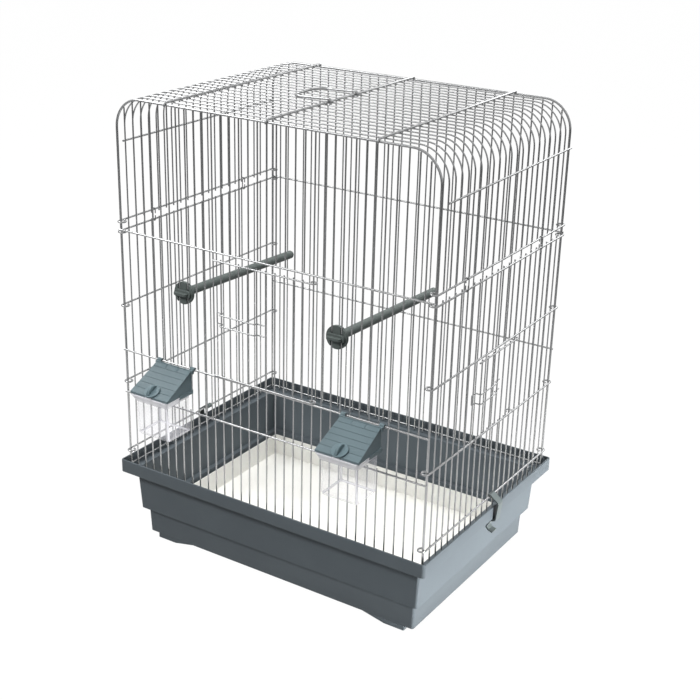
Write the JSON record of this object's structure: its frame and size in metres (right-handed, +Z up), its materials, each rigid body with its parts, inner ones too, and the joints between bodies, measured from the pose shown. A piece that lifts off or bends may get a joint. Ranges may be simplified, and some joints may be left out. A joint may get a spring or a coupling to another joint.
{
  "type": "bird cage",
  "caption": "Table-top wire bird cage with rounded roof on a stepped plastic tray, hinged front and side doors, hooded outside feeders, perches and a folding carry handle",
  "frame": {"origin": "on the floor under the centre of the overall box, feeders included, 27 mm in front of the tray centre", "axes": "+X to the cage's right, +Y from the front with the feeders to the back, +Z up"},
  "size_m": [0.5254, 0.4282, 0.6663],
  "materials": {
    "zinc_wire": "bright zinc-plated steel wire",
    "base_plastic": "fine-grained moulded plastic",
    "liner_plastic": "smooth white sheet plastic",
    "clip_plastic": "springy moulded plastic",
    "lid_plastic": "satin moulded plastic",
    "clear_plastic": "clear polystyrene",
    "perch_plastic": "matt moulded plastic"
  },
  "bodies": {
    "cage": {"back_cross_wires": "zinc_wire", "back_hoop": "zinc_wire", "back_upright_wires": "zinc_wire", "base_tray": "base_plastic", "floor_liner": "liner_plastic", "front_cross_wires": "zinc_wire", "front_hoop": "zinc_wire", "front_upright_wires": "zinc_wire", "left_joining_clips": "zinc_wire", "left_perch": "perch_plastic", "left_side_rails": "zinc_wire", "left_side_wires": "zinc_wire", "right_joining_clips": "zinc_wire", "right_perch": "perch_plastic", "right_side_rails": "zinc_wire", "right_side_wires": "zinc_wire", "roof_bar_left": "zinc_wire", "roof_bar_middle": "zinc_wire", "roof_bar_right": "zinc_wire", "roof_hoop_wires": "zinc_wire", "upper_left_rails": "zinc_wire", "upper_right_rails": "zinc_wire"},
    "front_door": {"front_door_wires": "zinc_wire", "front_door_bars": "zinc_wire"},
    "front_door_latch": {"front_door_latch": "zinc_wire"},
    "right_door": {"right_door_wires": "zinc_wire", "right_door_bars": "zinc_wire"},
    "right_door_latch": {"right_door_latch": "zinc_wire"},
    "carry_handle": {"carry_handle": "zinc_wire"},
    "left_base_clip": {"left_base_clip": "clip_plastic"},
    "right_base_clip": {"right_base_clip": "clip_plastic"},
    "left_feeder_lid": {"left_feeder_lid": "lid_plastic"},
    "left_feeder_cup": {"left_feeder_cup": "clear_plastic"},
    "left_feeder_knob": {"left_feeder_knob": "lid_plastic"},
    "left_perch_wing": {"left_perch_wing": "perch_plastic"},
    "right_feeder_lid": {"right_feeder_lid": "lid_plastic"},
    "right_feeder_cup": {"right_feeder_cup": "clear_plastic"},
    "right_feeder_knob": {"right_feeder_knob": "lid_plastic"},
    "right_perch_wing": {"right_perch_wing": "perch_plastic"}
  },
  "joints": [
    {"name": "front_door_hinge", "type": "hinge", "parent": "cage", "child": "front_door", "pos_m": [0.07209, -0.14865, 0.385], "axis": [0, 0, 1], "range_deg": [0, 110]},
    {"name": "front_latch_slide", "type": "slide", "parent": "front_door", "child": "front_door_latch", "axis": [-1, 0, 0], "range_m": [0, 0.009]},
    {"name": "right_door_hinge", "type": "hinge", "parent": "cage", "child": "right_door", "pos_m": [0.2457, 0.07481, 0.31], "axis": [0, 0, 1], "range_deg": [0, 120]},
    {"name": "right_latch_slide", "type": "slide", "parent": "right_door", "child": "right_door_latch", "axis": [0, -1, 0], "range_m": [0, 0.0095]},
    {"name": "handle_swing", "type": "hinge", "parent": "cage", "child": "carry_handle", "pos_m": [0, 0.02705, 0.6611], "axis": [0, 1, 0], "range_deg": [0, 168]},
    {"name": "left_clip_swing", "type": "hinge", "parent": "cage", "child": "left_base_clip", "pos_m": [-0.248, 0.03501, 0.1435], "axis": [0, 1, 0], "range_deg": [0, 95]},
    {"name": "right_clip_swing", "type": "hinge", "parent": "cage", "child": "right_base_clip", "pos_m": [0.248, 0.03501, 0.1435], "axis": [0, -1, 0], "range_deg": [0, 95]},
    {"name": "left_lid_swing", "type": "hinge", "parent": "cage", "child": "left_feeder_lid", "pos_m": [-0.15138, -0.15095, 0.3015], "axis": [-1, 0, 0], "range_deg": [0, 60]},
    {"name": "left_cup_slide", "type": "slide", "parent": "left_feeder_lid", "child": "left_feeder_cup", "axis": [0, -1, 0], "range_m": [0, 0.045]},
    {"name": "left_knob_turn", "type": "hinge", "parent": "left_feeder_lid", "child": "left_feeder_knob", "pos_m": [-0.15138, -0.20285, 0.27922], "axis": [0, -0.4354, 0.9002], "range_deg": [0, 90]},
    {"name": "left_wing_turn", "type": "hinge", "parent": "cage", "child": "left_perch_wing", "pos_m": [-0.13697, -0.14865, 0.4086], "axis": [0, 0.999, -0.0436], "range_deg": [0, 90]},
    {"name": "right_lid_swing", "type": "hinge", "parent": "cage", "child": "right_feeder_lid", "pos_m": [0.15138, -0.15095, 0.3015], "axis": [-1, 0, 0], "range_deg": [0, 60]},
    {"name": "right_cup_slide", "type": "slide", "parent": "right_feeder_lid", "child": "right_feeder_cup", "axis": [0, -1, 0], "range_m": [0, 0.045]},
    {"name": "right_knob_turn", "type": "hinge", "parent": "right_feeder_lid", "child": "right_feeder_knob", "pos_m": [0.15138, -0.20285, 0.27922], "axis": [0, -0.4354, 0.9002], "range_deg": [0, 90]},
    {"name": "right_wing_turn", "type": "hinge", "parent": "cage", "child": "right_perch_wing", "pos_m": [0.10813, -0.14865, 0.4028], "axis": [0, 0.999, -0.0436], "range_deg": [0, 90]}
  ]
}
